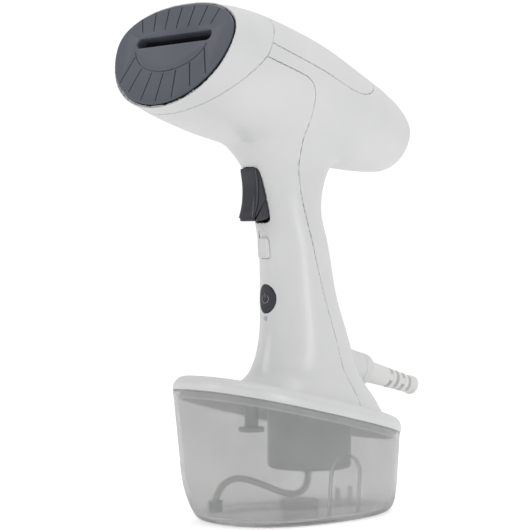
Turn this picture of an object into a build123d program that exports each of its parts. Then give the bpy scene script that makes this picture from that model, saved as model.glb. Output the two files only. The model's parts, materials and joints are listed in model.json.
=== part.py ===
from build123d import *
import os
from math import atan2, cos, degrees, hypot, pi, radians, sin, tan

# Handheld garment steamer. +Z is up, the steam plate faces -Y, X runs across.
# The origin lies on the flat underside of the water tank, below the handle.

# ---------------------------------------------------------------- driving sizes (mm, degrees)
WALL = 2.2            # moulded shell wall
TANK_WALL = 2.0
TANK_FLOOR = 3.0
RIM_HEIGHT = 60.5     # height of the tank's rim above the origin
RIM_SLOPE = 12.3      # the rim falls to the rear by this angle
LID_GAP = 0.3         # between the tank's rim and the lid
LID_BAND = 4.6        # upright band of the lid
LID_CEILING = 7.0     # inside of the lid above the rim
LID_TOP = 9.4         # outside of the lid above the rim
FACE_TILT = 20.5      # the steam plate leans back
FACE_CENTRE = (0, -97.6, 277.8)
HEAD_SLOPE = 13.0     # the head's axis falls to the rear
HEAD_START = (0, -96.9, 275.4)
PLATE_PROUD = 1.5     # the plate stands this far in front of the collar
SLOT_HALF = 31.5
SLOT_HEIGHT = 6.0
SLOT_MIDDLE = -0.6
WELL = (0, 11)        # centre of the pump well
WELL_RADIUS = 25.0
WELL_BOTTOM = 28.0
HOSE_DIAMETER = 4.0
TRIGGER_HALF = 6.2
TRIGGER_PIVOT = (-25.0, 203.0)   # y, z
BEZEL_HALF = 7.0
CORD_SLOPE = 14.3
CORD_START = (0, 61.0, 84.2)     # where the strain relief leaves its gland
CORD_RADIUS = 3.3

# squareness of the rounded outlines: 2 is an ellipse, more is squarer
HEAD_UPPER = 2.25
HEAD_LOWER = 2.0
HANDLE_REAR = 2.4
TANK_FRONT = 2.5
TANK_REAR = 2.25

# head sections: distance along the axis, backward tilt, half width, height above, depth below
HEAD = [
    (0, 20.5, 50.3, 24.3, 40.5),
    (15, 19, 50.3, 27.3, 42.5),
    (35, 16, 47.5, 30, 44),
    (60, 13, 44, 31, 43.5),
    (95, 13, 38.5, 30, 40),
    (130, 13, 31, 25.5, 37),
    (160, 13, 24, 20.5, 32),
    (182, 13, 16.5, 14.5, 26),
    (194, 13, 9.5, 8, 16),
    (199, 13, 3, 2, 6),
]

# handle sections: height, middle, half width, front, rear, squareness of the front half
HANDLE = [
    (54, 8, 42, -66, 62, 2.4),
    (62, 8, 38.5, -60, 56, 2.4),
    (70, 8, 35, -52, 51, 2.4),
    (77, 8, 31, -43.6, 46, 2.3),
    (84, 7, 26, -33.9, 43.5, 2.1),
    (92, 6, 23, -30.2, 41, 1.9),
    (105, 4, 21, -26.6, 37, 1.8),
    (130, 1, 19, -25.6, 27, 1.8),
    (165, -3, 17.5, -27.8, 18.5, 1.8),
    (180, -5, 17, -31.4, 13.5, 1.85),
    (196, -6, 17.5, -35.8, 15, 1.95),
    (210, -9, 19, -41.5, 23, 2.15),
    (222, -12, 24, -52.5, 36, 2.3),
    (232, -14, 29, -60, 44, 2.4),
]

# tank sections: height, half width, front, rear
TANK = [
    (0, 39, -60, 62),
    (2, 42, -64.5, 67),
    (6, 43.5, -68.5, 70),
    (14, 44.5, -73, 71.5),
    (26, 45, -77, 72.5),
    (55, 45.7, -81, 75),
    (92, 46.6, -86, 78.5),
]
RIM = (45.9, -86.1, 75.9)   # half width, front and rear, measured along the sloping rim


# ---------------------------------------------------------------- helpers
def save(shape, name):
    export_step(shape, f"parts/{name}.step")


def bezier_factor(squareness):
    """Handle length of a quarter curve that passes through a superellipse's corner point."""
    return (8 * 2 ** (-1 / squareness) - 4) / 3


def rounded_outline(half_width, low, high, middle=0, low_round=2.0, high_round=2.0):
    """Closed outline of four quarter curves: x is +-half_width, y runs from low to high."""
    quarters = [
        (1, high - middle, high_round),
        (-1, high - middle, high_round),
        (-1, low - middle, low_round),
        (1, low - middle, low_round),
    ]
    edges = []
    for index, (side, reach, squareness) in enumerate(quarters):
        k = bezier_factor(squareness)
        at_side = (side * half_width, middle)
        near_side = (side * half_width, middle + k * reach)
        near_end = (side * k * half_width, middle + reach)
        at_end = (0, middle + reach)
        points = [at_side, near_side, near_end, at_end]
        if index % 2 == 1:
            points.reverse()
        edges.append(Bezier(*points))
    return Face(Wire(edges))


def tilted(origin, tilt):
    """Plane across the head, its local y pointing up the section."""
    a = radians(tilt)
    return Plane(origin=origin, x_dir=(1, 0, 0), z_dir=(0, -cos(a), sin(a)))


def along_head(distance):
    a = radians(HEAD_SLOPE)
    x, y, z = HEAD_START
    return (x, y + distance * cos(a), z - distance * sin(a))


def side_prism(points, half=120):
    """Solid between x = -half and x = half over an outline given as (y, z) points."""
    loop = Polyline(*[(0, y, z) for y, z in points], close=True)
    face = Face(Wire(loop.edges()))
    return extrude(face, amount=half, dir=(1, 0, 0), both=True)


def rod(start, end, radius):
    start = Vector(*start)
    way = Vector(*end) - start
    plane = Plane(origin=start, z_dir=way.normalized())
    return extrude(plane * Circle(radius), amount=way.length)


def pipe(start, end, outer, inner):
    return rod(start, end, outer) - rod(start, end, inner)


def block(x, y, z):
    """Box from (low, high) pairs."""
    size = (x[1] - x[0], y[1] - y[0], z[1] - z[0])
    centre = ((x[0] + x[1]) / 2, (y[0] + y[1]) / 2, (z[0] + z[1]) / 2)
    return Pos(*centre) * Box(*size)


def rounded_corners(shape, radius, axis=Axis.Z):
    return fillet(shape.edges().filter_by(axis), radius)


def route_tube(points, diameter, name):
    """Tube along straight runs joined by tangent arcs as large as the runs allow."""
    route = [Vector(*p) for p in points]
    radii = []
    for a, b, c in zip(route, route[1:], route[2:]):
        turn = radians((b - a).get_angle(c - b))
        shorter = min((b - a).length, (c - b).length)
        radii.append(0.45 * shorter / tan(turn / 2))
    path = FilletPolyline(*route, radius=radii)
    section = Plane(origin=route[0], z_dir=route[1] - route[0]) * Circle(diameter / 2)
    tube = sweep(section, path=path)
    expected = pi * diameter ** 2 / 4 * path.length
    print(name, "length", round(path.length, 1), "radii", [round(r, 1) for r in radii],
          "volume ratio", round(tube.volume / expected, 4))
    return tube


# ---------------------------------------------------------------- shared planes
RIM_PLANE = Plane(
    origin=(0, 0, RIM_HEIGHT),
    x_dir=(1, 0, 0),
    z_dir=(0, sin(radians(RIM_SLOPE)), cos(radians(RIM_SLOPE))),
)
FACE_PLANE = tilted(FACE_CENTRE, FACE_TILT)   # local z points out of the steam plate


def above_rim(height, far=200):
    """Everything above the rim plane by more than the given height."""
    return RIM_PLANE.offset(height) * Pos(0, 0, far / 2) * Box(4 * far, 4 * far, far)


# ---------------------------------------------------------------- water tank
def tank_form(inset, floor):
    sections = []
    for z, half, front, rear in TANK:
        height = z + floor if z < 12 else z
        outline = rounded_outline(half - inset, front + inset, rear - inset, 0, TANK_FRONT, TANK_REAR)
        sections.append(Pos(0, 0, height) * outline)
    return loft(sections, ruled=True)


def make_tank():
    tank = tank_form(0, 0) - tank_form(TANK_WALL, TANK_FLOOR)
    tank -= above_rim(0)
    # seat ring and two pegs on the floor
    tank += Pos(0, 2.5, TANK_FLOOR - 0.5) * extrude(Circle(12) - Circle(9.5), amount=6.5)
    for y in (30.5, 41.5):
        tank += Pos(5, y, TANK_FLOOR - 0.5) * extrude(Circle(1.6), amount=12)
    # arched ribs inside both side walls
    arch = Plane.YZ * (Pos(-2, 16) * Rectangle(26, 22) + Pos(-2, 27) * Circle(13))
    arch -= Plane.YZ * (Pos(-2, 14) * Rectangle(22.4, 30) + Pos(-2, 27) * Circle(11.2))
    for side in (-1, 1):
        tank += Pos(side * 40.9, 0, 0) * extrude(arch, amount=side * 2.4)
    return tank


# ---------------------------------------------------------------- lid that closes the tank
def rim_outline(inset):
    half, front, rear = RIM
    return rounded_outline(half - inset, front + inset, rear - inset, 0, TANK_FRONT, TANK_REAR)


def rim_slab(inset, low, high):
    return extrude(RIM_PLANE.offset(low) * rim_outline(inset), amount=high - low)


def make_base_cover():
    shoulder = loft([
        RIM_PLANE.offset(LID_BAND) * rim_outline(-0.3),
        RIM_PLANE.offset(LID_BAND + 2.9) * rim_outline(1.6),
        RIM_PLANE.offset(LID_TOP) * rim_outline(5.0),
    ])
    cover = rim_slab(-0.3, LID_GAP, LID_BAND) + shoulder
    cover -= rim_slab(2.4, 0, LID_BAND - 0.5) + rim_slab(5.8, 0, LID_CEILING)
    lip = rim_slab(4.2, -4.0, LID_BAND) - rim_slab(5.8, -4.0, LID_BAND)
    cover += lip
    cover -= Pos(WELL[0], WELL[1], 40) * Cylinder(21, 120)
    return cover


def make_cover_gasket():
    return rim_slab(3.4, -3.2, -1.6) - rim_slab(4.2, -3.2, -1.6)


def make_vent_valve():
    stem = Pos(0, -37, 55) * extrude(Circle(4), amount=40)
    stem -= above_rim(LID_CEILING)
    return stem + Pos(0, -37, 52.5) * extrude(Circle(7.5), amount=2.6)


# ---------------------------------------------------------------- pump in its well
def make_well_housing():
    cup = Pos(WELL[0], WELL[1], WELL_BOTTOM) * extrude(Circle(WELL_RADIUS), amount=60)
    cup = fillet(cup.edges().filter_by(GeomType.CIRCLE).sort_by(Axis.Z)[0], 2.5)
    cup -= Pos(WELL[0], WELL[1], WELL_BOTTOM + 2) * extrude(Circle(WELL_RADIUS - 2), amount=60)
    cup -= above_rim(LID_CEILING)
    cup -= Pos(0, 10, WELL_BOTTOM) * Cylinder(3.1, 10)
    return cup


def make_inlet_fitting():
    fitting = rod((0, 10, 25), (0, 10, 36), 3)
    fitting += rod((0, 10, 30), (0, 10, 32), 6)
    return fitting - rod((0, 10, 24), (0, 10, 40), 1.3)


def make_suction_hose():
    route = [
        (0, 10, 25),
        (0, 10.3, 19.5),
        (-0.5, 6, 13.5),
        (-1.5, -3, 12),
        (-2.5, -14, 15.5),
        (-4, -28.6, 21.7),
        (-6, -41.4, 25.5),
        (-8, -50, 23.5),
        (-9, -55.3, 17.8),
        (-9.4, -56.5, 12.6),
    ]
    return route_tube(route, HOSE_DIAMETER, "suction_hose")


def make_hose_filter():
    body = rod((-9.4, -56.5, 12.6), (-9.4, -56.5, 6), 4)
    for height in (8, 10):
        body -= Pos(-9.4, -56.5, height) * (Cylinder(5, 0.8) - Cylinder(3.3, 0.8))
    return body


PUMP_LOW = 36.0
PUMP_HIGH = 96.0


def make_pump_body():
    body = pipe((0, 10, PUMP_LOW), (0, 10, PUMP_HIGH), 6, 4.4)
    body += pipe((0, 10, PUMP_LOW), (0, 10, PUMP_LOW + 3), 6, 1.3)
    body += pipe((0, 10, PUMP_HIGH), (0, 10, PUMP_HIGH + 3), 7.5, 1.3)
    return body + pipe((0, 10, PUMP_HIGH + 3), (0, 10, PUMP_HIGH + 12), 2.6, 1.3)


def make_pump_coil():
    return pipe((0, 10, 48), (0, 10, 72), 15, 6.1)


def make_pump_yoke():
    yoke = block((-17.5, 17.5), (2, 18), (46, 74)) - block((-15.5, 15.5), (1, 19), (48, 72))
    return yoke - rod((0, 10, 40), (0, 10, 80), 6.1)


def make_pump_plunger():
    return rod((0, 10, 50), (0, 10, 78), 4.1)


def make_plunger_spring():
    coil = Helix(pitch=3, height=15, radius=3.2)
    wire = Plane(origin=coil @ 0, z_dir=coil % 0) * Circle(0.4)
    return Pos(0, 10, 79.2) * sweep(wire, path=coil, is_frenet=True)


# ---------------------------------------------------------------- shells of head and handle
def head_form(inset, front=0.0):
    sections = []
    for distance, tilt, half, up, down in HEAD:
        if half - inset < 4 and inset > 0:
            continue
        place = along_head(distance - (front if distance == 0 else 0))
        outline = rounded_outline(half - inset, inset - down, up - inset, 0, HEAD_LOWER, HEAD_UPPER)
        sections.append(tilted(place, tilt) * outline)
    return loft(sections)


def handle_form(inset):
    sections = []
    for z, middle, half, front, rear, front_round in HANDLE:
        outline = rounded_outline(half - inset, front + inset, rear - inset, middle, front_round, HANDLE_REAR)
        sections.append(Pos(0, 0, z) * outline)
    return loft(sections)


# seams seen from the side, as (y, z)
COLLAR_SEAM = [(-103.8, 233.5), (-88, 249.5), (-70.5, 265.8), (-66, 274), (-57, 287), (-51, 300)]
SIDE_SEAM = [
    (-70.5, 265.8), (-42, 259.7), (-32, 257), (-26.5, 253), (-23.5, 246.5), (-22.5, 238),
    (-20.5, 231), (-18, 222), (-15.5, 208), (-12.8, 194), (-4, 165), (4.6, 133.4),
    (13, 108), (16, 93), (18, 70), (18, 40),
]
TOP_SEAM = [(-66, 274), (-42, 268.3), (-16, 262), (8, 254.8), (26, 252), (40, 256), (52, 270)]


def shell_solid():
    outer = head_form(0) + handle_form(0)
    inner = head_form(WALL, 6) + handle_form(WALL)
    shell = outer - inner
    keep = above_rim(LID_TOP, 400)
    return shell & keep


def front_region():
    return side_prism(COLLAR_SEAM + [(-51, 340), (-160, 340), (-160, 233.5)])


def below_side_seam():
    return side_prism([(-160, 40), (-160, 265.8)] + SIDE_SEAM)


def above_top_seam():
    return side_prism(TOP_SEAM + [(52, 340), (-120, 340), (-120, 274)])


BUTTON = (0, 130)            # x, z of the power button
BUTTON_HALF = (6.6, 8.4)
SLIDE_LOW = 154.0
SLIDE_HIGH = 166.0
SLIDE_TRAVEL = 3.4
SLIDE_FLOOR = -26.3          # y of the track that the slider runs in


def button_outline(grow):
    return Ellipse(BUTTON_HALF[0] + grow, BUTTON_HALF[1] + grow)


def facing_front(y):
    """Plane that faces the user's fingers, its local y pointing up."""
    return Plane(origin=(0, y, 0), x_dir=(1, 0, 0), z_dir=(0, -1, 0))


SCREW_HEIGHT = 147.0
SCREW_SEAT = 18.0     # y of the screw head's seat
INDICATOR_HEIGHT = 118.5


def rear_screw(radius, start, end):
    return rod((0, start, SCREW_HEIGHT), (0, end, SCREW_HEIGHT), radius)


def make_shells():
    shell = shell_solid()
    front = front_region()
    collar = shell & front
    rest = shell - front
    low = below_side_seam()
    front_shell = rest & low
    rest = rest - low
    high = above_top_seam()
    top_cover = rest & high
    rear_shell = rest - high
    # openings of the front shell
    front_shell -= block((-BEZEL_HALF - 0.2, BEZEL_HALF + 0.2), (-60, -18), (173.0, 208.0))
    front_shell -= facing_front(-10) * Pos(*BUTTON) * extrude(button_outline(0.4), amount=20)
    front_shell -= block((-3.0, 3.0), (-40, -18), (157.6, 162.4 + SLIDE_TRAVEL))
    front_shell -= block((-4.2, 4.2), (-40, SLIDE_FLOOR), (SLIDE_LOW - 0.4, SLIDE_HIGH + SLIDE_TRAVEL + 0.4))
    front_shell -= rod((0, -60, INDICATOR_HEIGHT), (0, -18, INDICATOR_HEIGHT), 1.2)
    # the screw's boss reaches back from the front shell to the rear shell
    front_shell += rear_screw(3.6, -25, 4) - rear_screw(1.3, -14, 4)
    rear_shell += rear_screw(4.6, 6, SCREW_SEAT + 2) & handle_form(0.3)
    rear_shell -= rear_screw(1.8, 0, 70) + rear_screw(3.2, SCREW_SEAT, 70)
    # cord gland hole
    rear_shell -= cord_rod(10.2, -40, 10)
    return collar, front_shell, rear_shell, top_cover


def make_shell_screw():
    screw = rear_screw(1.2, -12, SCREW_SEAT) + rear_screw(2.9, SCREW_SEAT, SCREW_SEAT + 2)
    for size in ((4, 0.8, 0.8), (0.8, 0.8, 4)):
        screw -= Pos(0, SCREW_SEAT + 1.6, SCREW_HEIGHT) * Box(*size)
    return screw


# ---------------------------------------------------------------- steam plate and its seal
PLATE = (48.8, 20.7, -40.5, -2.0)   # half width, top, bottom, widest line


def plate_outline(inset):
    half, top, bottom, middle = PLATE
    return rounded_outline(half - inset, bottom + inset, top - inset, middle, 1.95, 2.2)


GROOVE_WIDTH = 0.9
GROOVE_DEPTH = 0.6
UPPER_STEP = 9.7            # spacing of the grooves above the slot
UPPER_SPREAD = 1.13         # how far they fan out at the plate's edge
# grooves below the slot, from the arched line outwards; all but the middle one have a mirrored twin
LOWER_GROOVES = [
    ((0, -21.7), (0, -38.6)),
    ((10.3, -20.6), (13, -37)),
    ((20.5, -17.1), (26, -31)),
    ((29.5, -9), (36, -24.5)),
]


def groove(x1, y1, x2, y2):
    """Radial groove in the steam plate, between two points of its face."""
    length = hypot(x2 - x1, y2 - y1)
    bar = Pos(length / 2, 0, 0) * Box(length, GROOVE_WIDTH, 2 * GROOVE_DEPTH)
    return Pos(x1, y1, 0) * Rot(0, 0, degrees(atan2(y2 - y1, x2 - x1))) * bar


def make_steam_plate():
    plate = extrude(plate_outline(0), amount=-PLATE_PROUD)
    plate += Pos(0, 0, -PLATE_PROUD) * extrude(plate_outline(1.9), amount=-4.5)
    slot = Pos(0, SLOT_MIDDLE) * SlotOverall(2 * SLOT_HALF, SLOT_HEIGHT)
    plate -= Pos(0, 0, -6) * extrude(slot, amount=12)
    for step in range(-3, 4):
        x = UPPER_STEP * step
        top_edge = 18.6 * (1 - abs(x * UPPER_SPREAD / 47) ** 2.4) ** 0.45
        plate -= groove(x, 6.3, UPPER_SPREAD * x, top_edge)
    for (x1, y1), (x2, y2) in LOWER_GROOVES:
        plate -= groove(x1, y1, x2, y2)
        if x1 > 0:
            plate -= groove(-x1, y1, -x2, y2)
    return FACE_PLANE * plate


def make_plate_seal():
    ring = rounded_outline(SLOT_HALF + 3.5, -6.4, 5.2, SLOT_MIDDLE, 3, 3)
    ring -= Pos(0, SLOT_MIDDLE) * SlotOverall(2 * SLOT_HALF, SLOT_HEIGHT)
    return FACE_PLANE * Pos(0, 0, -15) * extrude(ring, amount=9)


# ---------------------------------------------------------------- steam generator in the head
CHAMBER_MIDDLE = -5.5
INLET_MIDDLE = -20.5   # water inlet at the back of the chamber



def face_block(width, height, near, far, middle=CHAMBER_MIDDLE):
    """Block behind the steam plate, from depth near to depth far."""
    shape = Pos(0, middle, -(near + far) / 2) * Box(width, height, far - near)
    return rounded_corners(shape, 8, Axis.Z)


def cover_screw_places():
    return [(x, y) for x in (-28, 28) for y in (-18.5, 7.5)]


def make_chamber_cover():
    cover = face_block(66, 37, 15, 18)
    cover -= Pos(0, SLOT_MIDDLE, -16.5) * Box(46, 4.5, 4)
    for x, y in cover_screw_places():
        cover -= Pos(x, y, -16.5) * Cylinder(1.7, 4)
    return FACE_PLANE * cover


def make_steam_chamber():
    chamber = face_block(66, 37, 18, 52)
    chamber -= Pos(0, CHAMBER_MIDDLE + 2, -32) * Box(48, 22, 28.01)
    for x, y in cover_screw_places():
        chamber -= Pos(x, y, -24) * Cylinder(1.3, 12.01)
    chamber += Pos(0, INLET_MIDDLE, -56) * Cylinder(3, 8)
    chamber -= Pos(0, INLET_MIDDLE, -54) * Cylinder(1.3, 20)
    return FACE_PLANE * chamber


def make_chamber_screws():
    screws = []
    for x, y in cover_screw_places():
        shank = Pos(x, y, -20) * Cylinder(1.25, 10)
        head = Pos(x, y, -14) * Cylinder(2.8, 2)
        slot = Pos(x, y, -13.2) * Box(4, 0.7, 0.8)
        screws.append(FACE_PLANE * (shank + head - slot))
    return Compound(children=screws)


def make_heating_element():
    depth = 55.6
    corners = [(-25, 7, -depth), (-25, -12.5, -depth), (25, -12.5, -depth), (25, 7, -depth)]
    route = FilletPolyline(*corners, radius=8)
    section = Plane(origin=route @ 0, z_dir=route % 0) * Circle(3.4)
    return FACE_PLANE * sweep(section, path=route)


def make_thermostat():
    can = Pos(-4, 1, -55) * Cylinder(8.5, 6)
    for x in (-8, 0):
        can += Pos(x, 1, -61) * Box(0.8, 4, 6)
    return FACE_PLANE * can


def make_thermal_fuse():
    body = Pos(13, 2, -54.2) * Rot(90, 0, 0) * Cylinder(2.1, 13)
    lead = Pos(13, 2, -54.2) * Rot(90, 0, 0) * Cylinder(0.5, 19)
    return FACE_PLANE * (body + lead)


def make_heat_shield():
    return FACE_PLANE * face_block(54, 26, 67, 67.8, 0)


def make_delivery_hose():
    """Hose from the pump's outlet up through the handle to the chamber's inlet."""
    lean = radians(FACE_TILT)
    x, y, z = FACE_CENTRE

    def behind_inlet(depth):
        return (0, y + INLET_MIDDLE * sin(lean) + depth * cos(lean),
                z + INLET_MIDDLE * cos(lean) - depth * sin(lean))

    route = [
        (0, 10, PUMP_HIGH + 12),
        (0, 10, PUMP_HIGH + 20),
        (5, 9.6, PUMP_HIGH + 32),
        (9.5, 9, 148),
        (9.5, 5, 170),
        (9, -0.5, 188),
        (7, -7, 205),
        (3, -17, 219),
        behind_inlet(72),
        behind_inlet(60),
    ]
    return route_tube(route, 4.6, "delivery_hose")


# ---------------------------------------------------------------- trigger group
def make_trigger():
    outline = [
        (-28.3, 206.6), (-39.4, 206.8), (-41.0, 204.6), (-39.5, 196), (-39.6, 188), (-40.9, 180),
        (-41.6, 177), (-39.4, 175.2), (-32, 176.2), (-29.2, 181), (-28.3, 190),
    ]
    trigger = side_prism(outline, TRIGGER_HALF)
    trigger = fillet(trigger.edges().filter_by(GeomType.LINE).group_by(Axis.X)[-1], 1.2)
    trigger = fillet(trigger.edges().filter_by(GeomType.LINE).group_by(Axis.X)[0], 1.2)
    y, z = TRIGGER_PIVOT
    hub = rod((-5.6, y, z), (5.6, y, z), 3.4)
    hub += block((-5.6, 5.6), (-31, y), (z - 2.4, z + 3.2))
    finger = block((-2.5, 2.5), (-30, -21.5), (185, 190))
    hub -= block((-3.4, 3.4), (-28.2, -18), (z - 6, z + 6))
    return trigger + hub + finger - rod((-10, y, z), (10, y, z), 1.35)


def make_trigger_pin():
    y, z = TRIGGER_PIVOT
    return rod((-BEZEL_HALF, y, z), (BEZEL_HALF, y, z), 1.3)


def make_trigger_bezel():
    y, z = TRIGGER_PIVOT
    ring = block((-BEZEL_HALF, BEZEL_HALF), (-46, -22), (173.2, 207.8))
    ring -= block((-BEZEL_HALF + 0.5, BEZEL_HALF - 0.5), (-60, 0), (173.9, 207.2))
    ring -= rod((-10, y, z), (10, y, z), 1.35)
    return ring & handle_form(0.1)


def make_trigger_spring():
    y, z = TRIGGER_PIVOT
    coil = Helix(pitch=1.1, height=5.5, radius=2.4)
    wire = Plane(origin=coil @ 0, z_dir=coil % 0) * Circle(0.35)
    turned = Rot(0, 90, 0) * sweep(wire, path=coil, is_frenet=True)
    return Pos(-2.75, y, z) * turned


def make_steam_switch():
    return block((-3.2, 3.2), (-18, -8), (178, 198))


# ---------------------------------------------------------------- lock slider, button, board
def make_lock_slider():
    cap = block((-3.8, 3.8), (-28.4, SLIDE_FLOOR - 0.15), (SLIDE_LOW, SLIDE_HIGH))
    cap = chamfer(cap.edges().filter_by(Axis.Y), 1.2)
    neck = block((-2.6, 2.6), (SLIDE_FLOOR - 0.5, -22.8), (158, 162))
    foot = block((-4.4, 4.4), (-22.8, -21.6), (156, 164))
    return cap + neck + foot


def make_power_button():
    cap = facing_front(-18.3) * Pos(*BUTTON) * extrude(button_outline(0), amount=12)
    cap = cap & handle_form(-0.5)
    flange = facing_front(-16.9) * Pos(*BUTTON) * extrude(button_outline(0.8), amount=1.4)
    stem = facing_front(-15.6) * Pos(*BUTTON) * extrude(Circle(2.2), amount=2.4)
    return cap + flange + stem


def make_power_switch():
    body = block((-3, 3), (-12.5, -9), (127, 133))
    return body + rod((0, -12.5, 130), (0, -14, 130), 1.6)


def make_control_board():
    return block((-13, 13), (-9, -7.4), (106, 141))


def make_board_parts():
    relay = block((-11, 1), (-7.4, 2), (108, 120))
    capacitor = rod((8, -7.4, 113), (8, 1, 113), 4)
    return Compound(children=[relay, capacitor])


def make_indicator():
    return rod((0, -26.0, INDICATOR_HEIGHT), (0, -9.05, INDICATOR_HEIGHT), 1.1)


# ---------------------------------------------------------------- cord exit
def cord_point(distance):
    a = radians(CORD_SLOPE)
    x, y, z = CORD_START
    return (x, y + distance * cos(a), z - distance * sin(a))


def cord_rod(radius, start, end):
    return rod(cord_point(start), cord_point(end), radius)


def make_cord_gland():
    gland = cord_rod(10, -30, -0.4)
    gland = fillet(gland.edges().filter_by(GeomType.CIRCLE).sort_by(Axis.Y)[-1], 4)
    gland += cord_rod(11.4, -33, -30)
    return gland - cord_rod(5.2, -40, 2)


def make_strain_relief():
    plane = Plane(origin=cord_point(-0.3), x_dir=(1, 0, 0),
                  z_dir=(0, cos(radians(CORD_SLOPE)), -sin(radians(CORD_SLOPE))))
    relief = loft([plane * Circle(6.8), plane.offset(45.5) * Circle(5.4)])
    relief += cord_rod(5.1, -34, 0)
    relief += cord_rod(7.4, -36, -33.2)
    for distance in (20.5, 26.5, 32.5, 38.5):
        relief -= cord_rod(9, distance, distance + 2.4) - cord_rod(4.6, distance, distance + 2.4)
    return relief - cord_rod(CORD_RADIUS, -40, 60)


def make_terminal_block():
    body = block((-8, 8), (16, 25), (112, 122))
    for x in (-4, 4):
        body -= rod((x, 16, 117), (x, 19, 117), 1.6)
    return body


# ---------------------------------------------------------------- build everything
def main():
    os.makedirs("parts", exist_ok=True)
    save(make_tank(), "tank")
    save(make_base_cover(), "base_cover")
    save(make_cover_gasket(), "cover_gasket")
    save(make_vent_valve(), "vent_valve")
    save(make_well_housing(), "well_housing")
    save(make_inlet_fitting(), "inlet_fitting")
    save(make_suction_hose(), "suction_hose")
    save(make_hose_filter(), "hose_filter")
    save(make_pump_body(), "pump_body")
    save(make_pump_coil(), "pump_coil")
    save(make_pump_yoke(), "pump_yoke")
    save(make_pump_plunger(), "pump_plunger")
    save(make_plunger_spring(), "plunger_spring")
    collar, front_shell, rear_shell, top_cover = make_shells()
    save(collar, "front_collar")
    save(front_shell, "front_shell")
    save(rear_shell, "rear_shell")
    save(top_cover, "top_cover")
    save(make_shell_screw(), "shell_screw")
    save(make_steam_plate(), "steam_plate")
    save(make_plate_seal(), "plate_seal")
    save(make_chamber_cover(), "chamber_cover")
    save(make_steam_chamber(), "steam_chamber")
    save(make_chamber_screws(), "chamber_screws")
    save(make_heating_element(), "heating_element")
    save(make_thermostat(), "thermostat")
    save(make_thermal_fuse(), "thermal_fuse")
    save(make_heat_shield(), "heat_shield")
    save(make_delivery_hose(), "delivery_hose")
    save(make_trigger(), "trigger")
    save(make_trigger_pin(), "trigger_pin")
    save(make_trigger_bezel(), "trigger_bezel")
    save(make_trigger_spring(), "trigger_spring")
    save(make_steam_switch(), "steam_switch")
    save(make_lock_slider(), "lock_slider")
    save(make_power_button(), "power_button")
    save(make_power_switch(), "power_switch")
    save(make_control_board(), "control_board")
    save(make_board_parts(), "board_parts")
    save(make_indicator(), "indicator_light")
    save(make_cord_gland(), "cord_gland")
    save(make_strain_relief(), "strain_relief")
    save(make_terminal_block(), "terminal_block")


if __name__ == "__main__":
    main()
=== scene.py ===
import bmesh
import bpy
import json
import numpy as np
from math import cos, pi, radians, sin, tan
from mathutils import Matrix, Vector


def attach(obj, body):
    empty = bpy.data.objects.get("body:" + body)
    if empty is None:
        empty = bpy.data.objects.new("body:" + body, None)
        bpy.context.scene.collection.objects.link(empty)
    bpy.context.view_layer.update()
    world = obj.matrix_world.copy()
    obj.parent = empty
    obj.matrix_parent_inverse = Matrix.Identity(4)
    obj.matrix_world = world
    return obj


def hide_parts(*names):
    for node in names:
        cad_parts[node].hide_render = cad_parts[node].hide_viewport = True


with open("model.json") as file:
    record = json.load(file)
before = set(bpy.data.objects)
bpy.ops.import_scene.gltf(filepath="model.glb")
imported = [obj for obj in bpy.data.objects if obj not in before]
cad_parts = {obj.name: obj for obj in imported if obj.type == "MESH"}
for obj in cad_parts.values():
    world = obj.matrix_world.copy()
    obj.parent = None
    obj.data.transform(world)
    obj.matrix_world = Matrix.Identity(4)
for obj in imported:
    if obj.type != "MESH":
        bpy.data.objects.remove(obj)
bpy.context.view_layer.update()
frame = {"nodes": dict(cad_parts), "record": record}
nodes = frame["nodes"]
scene = bpy.context.scene
mm = 0.001

# ---- Studio: a pale floor, two large soft boxes and a white surround.
# The camera stands about a metre away, level with the middle of the handle.
view_turn = radians(46)
camera_reach = 1.1
camera_aside = -0.0186
camera_height = 0.150
camera_data = bpy.data.cameras.new("camera")
camera_data.lens = 124.55
camera_data.sensor_width = 36
camera = bpy.data.objects.new("camera", camera_data)
scene.collection.objects.link(camera)
camera.location = (
    camera_reach * sin(view_turn) + camera_aside * cos(view_turn),
    -camera_reach * cos(view_turn) + camera_aside * sin(view_turn),
    camera_height,
)
camera.rotation_euler = (radians(90), 0, view_turn)
scene.camera = camera
scene.view_settings.view_transform = "Standard"


def new_material(name):
    """A node material, with its tree and its Principled shader."""
    made = bpy.data.materials.new(name)
    made.use_nodes = True
    tree = made.node_tree
    return made, tree, tree.nodes["Principled BSDF"]


def add_node(tree, kind, **inputs):
    """Adds a shader node and sets its sockets or properties by name."""
    node = tree.nodes.new("ShaderNode" + kind)
    for key, value in inputs.items():
        socket = key.replace("_", " ")
        if socket in node.inputs:
            node.inputs[socket].default_value = value
        else:
            setattr(node, key, value)
    return node


def speckle(tree, scale, detail=3.0):
    """Noise in the object's own coordinates, in metres."""
    place = add_node(tree, "TexCoord")
    noise = add_node(tree, "TexNoise", Scale=scale, Detail=detail)
    tree.links.new(place.outputs["Object"], noise.inputs["Vector"])
    return noise


def between(tree, source, low, high):
    """A number that follows the source from low to high."""
    ramp = add_node(tree, "MapRange")
    ramp.inputs["To Min"].default_value = low
    ramp.inputs["To Max"].default_value = high
    tree.links.new(source, ramp.inputs["Value"])
    return ramp.outputs["Result"]


def tinted(tree, source, dark, light):
    """A colour that follows the source from dark to light."""
    ramp = add_node(tree, "ValToRGB")
    ramp.color_ramp.elements[0].position = 0.35
    ramp.color_ramp.elements[1].position = 0.65
    ramp.color_ramp.elements[0].color = (*dark, 1)
    ramp.color_ramp.elements[1].color = (*light, 1)
    tree.links.new(source, ramp.inputs["Fac"])
    return ramp.outputs["Color"]


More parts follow.
